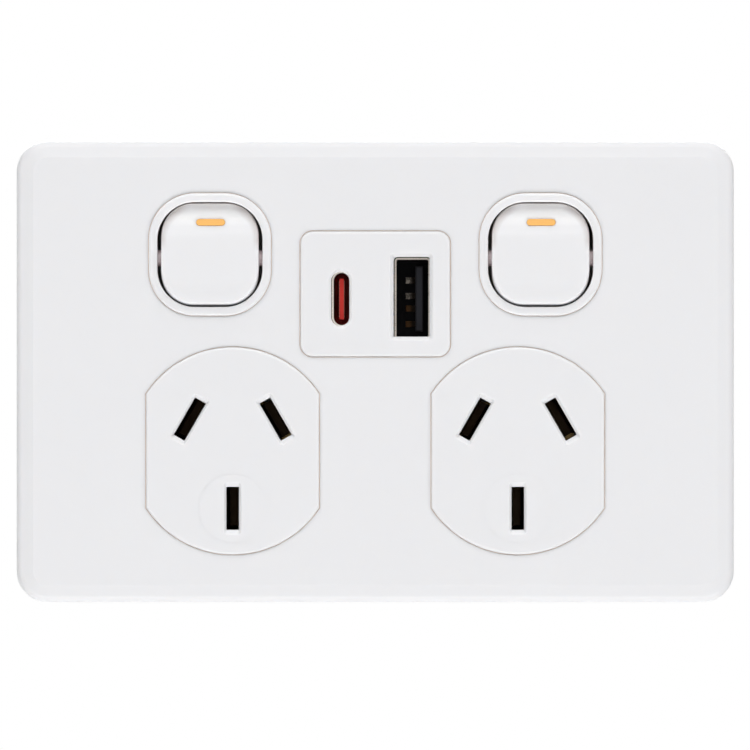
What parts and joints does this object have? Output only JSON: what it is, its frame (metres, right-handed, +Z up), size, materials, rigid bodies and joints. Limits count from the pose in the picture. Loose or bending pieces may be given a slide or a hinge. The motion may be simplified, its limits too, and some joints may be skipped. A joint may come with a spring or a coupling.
{
  "type": "double wall socket outlet with USB charging panel",
  "caption": "Flat white wall plate with rocker switches above three-pin outlets, and a small panel with two USB charging ports between them.",
  "frame": {"origin": "on the wall plane, midway between the two fixing holes", "axes": "+X to the right and +Z up as seen from the room, +Y into the wall; the face looks towards -Y"},
  "size_m": [0.1152, 0.0409, 0.0742],
  "materials": {
    "white_cover": "smooth moulded white, satin gloss",
    "white_front": "smooth moulded white, satin gloss",
    "white_rocker": "smooth moulded white, satin gloss",
    "indicator_orange": "moulded light orange",
    "grid_grey": "plain moulded",
    "housing_white": "plain moulded, fine spark texture",
    "brass": "stamped sheet, bright",
    "terminal_brass": "machined, bright",
    "zinc_steel": "zinc plated",
    "silver": "silver faced contact arm",
    "spring_steel": "drawn wire",
    "plunger_plastic": "natural nylon",
    "nickel_shell": "nickel plated, drawn",
    "port_black": "black moulded",
    "port_red": "red moulded",
    "port_contacts": "plated spring strip",
    "board_green": "lacquered glass-fibre board",
    "ferrite": "ground ferrite",
    "winding_tape": "yellow tape over the winding",
    "capacitor_black": "shrink sleeve",
    "chip_black": "moulded epoxy",
    "fuse_brown": "moulded cap",
    "lead_insulation": "insulated wire"
  },
  "bodies": {
    "base": {"cover_plate": "white_cover", "mounting_grid": "grid_grey", "usb_panel": "white_front", "supply_bar": "brass", "neutral_bar": "brass", "earth_bar": "brass", "loop_terminal": "terminal_brass", "active_terminal": "terminal_brass", "neutral_terminal": "terminal_brass", "earth_terminal": "terminal_brass", "terminal_screws": "zinc_steel", "rear_housing": "housing_white", "bay_lid": "housing_white", "housing_screws": "zinc_steel", "usb_a_shell": "nickel_shell", "usb_a_insulator": "port_black", "usb_a_contacts": "port_contacts", "usb_c_shell": "nickel_shell", "usb_c_tongue": "port_red", "usb_c_contacts": "port_contacts", "port_board": "board_green", "power_board": "board_green", "transformer_core": "ferrite", "transformer_bobbin": "winding_tape", "mains_capacitor": "capacitor_black", "output_capacitors": "capacitor_black", "rectifier": "chip_black", "controller_chip": "chip_black", "port_chip": "chip_black", "choke": "ferrite", "fuse": "fuse_brown", "board_link_pins": "port_contacts", "usb_supply_leads": "lead_insulation", "left_socket_face": "white_front", "left_switch_bezel": "white_front", "left_load_strap": "brass", "left_active_contact": "brass", "left_neutral_contact": "brass", "left_earth_contact": "brass", "right_socket_face": "white_front", "right_switch_bezel": "white_front", "right_load_strap": "brass", "right_active_contact": "brass", "right_neutral_contact": "brass", "right_earth_contact": "brass"},
    "left_switch": {"left_rocker": "white_rocker", "left_indicator": "indicator_orange", "left_plunger_spring": "spring_steel"},
    "left_plunger_pin": {"left_plunger": "plunger_plastic"},
    "left_contact_arm": {"left_see_saw": "silver"},
    "right_switch": {"right_rocker": "white_rocker", "right_indicator": "indicator_orange", "right_plunger_spring": "spring_steel"},
    "right_plunger_pin": {"right_plunger": "plunger_plastic"},
    "right_contact_arm": {"right_see_saw": "silver"}
  },
  "joints": [
    {"name": "left_rocker_tilt", "type": "hinge", "parent": "base", "child": "left_switch", "pos_m": [-0.02645, -0.008, 0.01812], "axis": [1, 0, 0], "range_deg": [0, 12]},
    {"name": "left_see_saw_rock", "type": "hinge", "parent": "base", "child": "left_contact_arm", "pos_m": [-0.02645, 0.0051, 0.01812], "axis": [1, 0, 0], "range_deg": [-16, 0]},
    {"name": "left_plunger_slide", "type": "slide", "parent": "left_switch", "child": "left_plunger_pin", "axis": [0, -0.9945, 0.1045], "range_m": [0, 0.0008], "stiffness_N_per_m": 400, "springref_m": -0.003, "deforming": ["left_plunger_spring"]},
    {"name": "right_rocker_tilt", "type": "hinge", "parent": "base", "child": "right_switch", "pos_m": [0.02645, -0.008, 0.01812], "axis": [1, 0, 0], "range_deg": [0, 12]},
    {"name": "right_see_saw_rock", "type": "hinge", "parent": "base", "child": "right_contact_arm", "pos_m": [0.02645, 0.0051, 0.01812], "axis": [1, 0, 0], "range_deg": [-16, 0]},
    {"name": "right_plunger_slide", "type": "slide", "parent": "right_switch", "child": "right_plunger_pin", "axis": [0, -0.9945, 0.1045], "range_m": [0, 0.0008], "stiffness_N_per_m": 400, "springref_m": -0.003, "deforming": ["right_plunger_spring"]}
  ],
  "couplings": [
    {"joint": "left_see_saw_rock", "follows": "left_rocker_tilt", "ratio": -1.3333},
    {"joint": "right_see_saw_rock", "follows": "right_rocker_tilt", "ratio": -1.3333}
  ]
}
